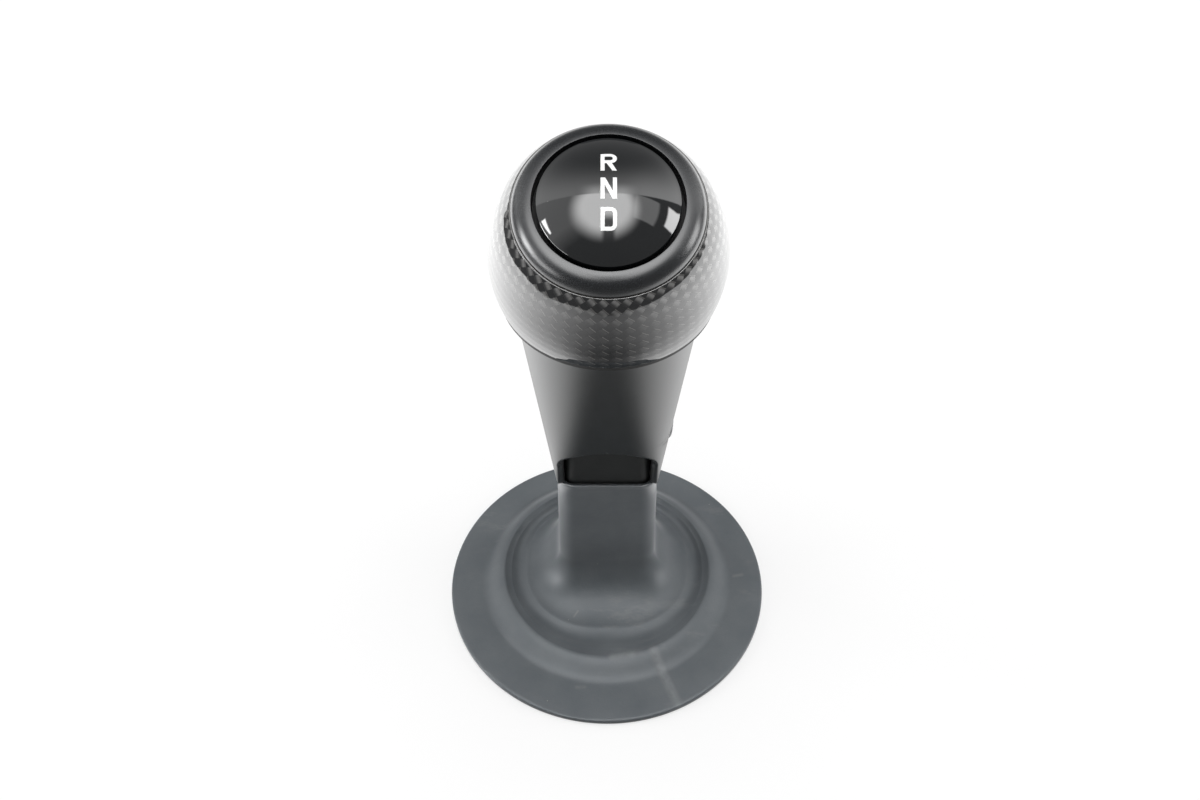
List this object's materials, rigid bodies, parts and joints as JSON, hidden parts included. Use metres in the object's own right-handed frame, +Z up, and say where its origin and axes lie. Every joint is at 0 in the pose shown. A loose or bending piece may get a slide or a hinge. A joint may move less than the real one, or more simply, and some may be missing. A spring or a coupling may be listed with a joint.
{
  "type": "gear shift knob",
  "caption": "Ball-shaped gear shift knob with a tilted domed cap, carbon shell, tapered neck with a side release button, and a rubber boot with a round disc foot.",
  "frame": {"origin": "centre of the boot disc's underside, on the surface it stands on", "axes": "+Z up along the lever's axis, -Y towards the driver, +X to the driver's right"},
  "size_m": [0.077, 0.077, 0.1383],
  "materials": {
    "gloss_black": "polished piano black",
    "letter_white": "white inlay",
    "satin_black": "satin",
    "inner_plastic": "as moulded",
    "screw_steel": "zinc plated",
    "carbon": "carbon weave under clear coat",
    "neck_paint": "satin black",
    "frame_plastic": "matte",
    "shank_steel": "turned",
    "button_plastic": "gloss",
    "guide_plastic": "natural acetal",
    "spring_steel": "drawn wire",
    "rod_brass": "turned",
    "boot_rubber": "matte rubber"
  },
  "bodies": {
    "knob": {"top_cap": "gloss_black", "gear_letters": "letter_white", "bezel_ring": "satin_black", "cap_plate": "inner_plastic", "plate_screws": "screw_steel", "carbon_shell": "carbon", "ball_core": "inner_plastic", "core_screws": "screw_steel", "spacer_ring": "inner_plastic", "neck_cover": "neck_paint", "neck_frame": "frame_plastic", "shank": "shank_steel", "roll_pin": "screw_steel", "set_screw": "screw_steel", "button_guide": "guide_plastic", "button_spring": "spring_steel", "blank_plug": "button_plastic", "rod_spring": "spring_steel", "boot_frame": "frame_plastic", "boot_sleeve": "boot_rubber", "boot_dish": "boot_rubber", "boot_disc": "boot_rubber"},
    "button": {"release_button": "button_plastic"},
    "rod": {"release_rod": "rod_brass"}
  },
  "joints": [
    {"name": "button_slide", "type": "slide", "parent": "knob", "child": "button", "axis": [-1, 0, 0], "range_m": [0, 0.0018], "stiffness_N_per_m": 400, "springref_m": -0.002, "deforming": ["button_spring"]},
    {"name": "rod_slide", "type": "slide", "parent": "knob", "child": "rod", "axis": [0, 0, -1], "range_m": [0, 0.0018], "stiffness_N_per_m": 300, "springref_m": -0.002, "deforming": ["rod_spring"]}
  ],
  "couplings": [
    {"joint": "rod_slide", "follows": "button_slide", "ratio": 1}
  ]
}
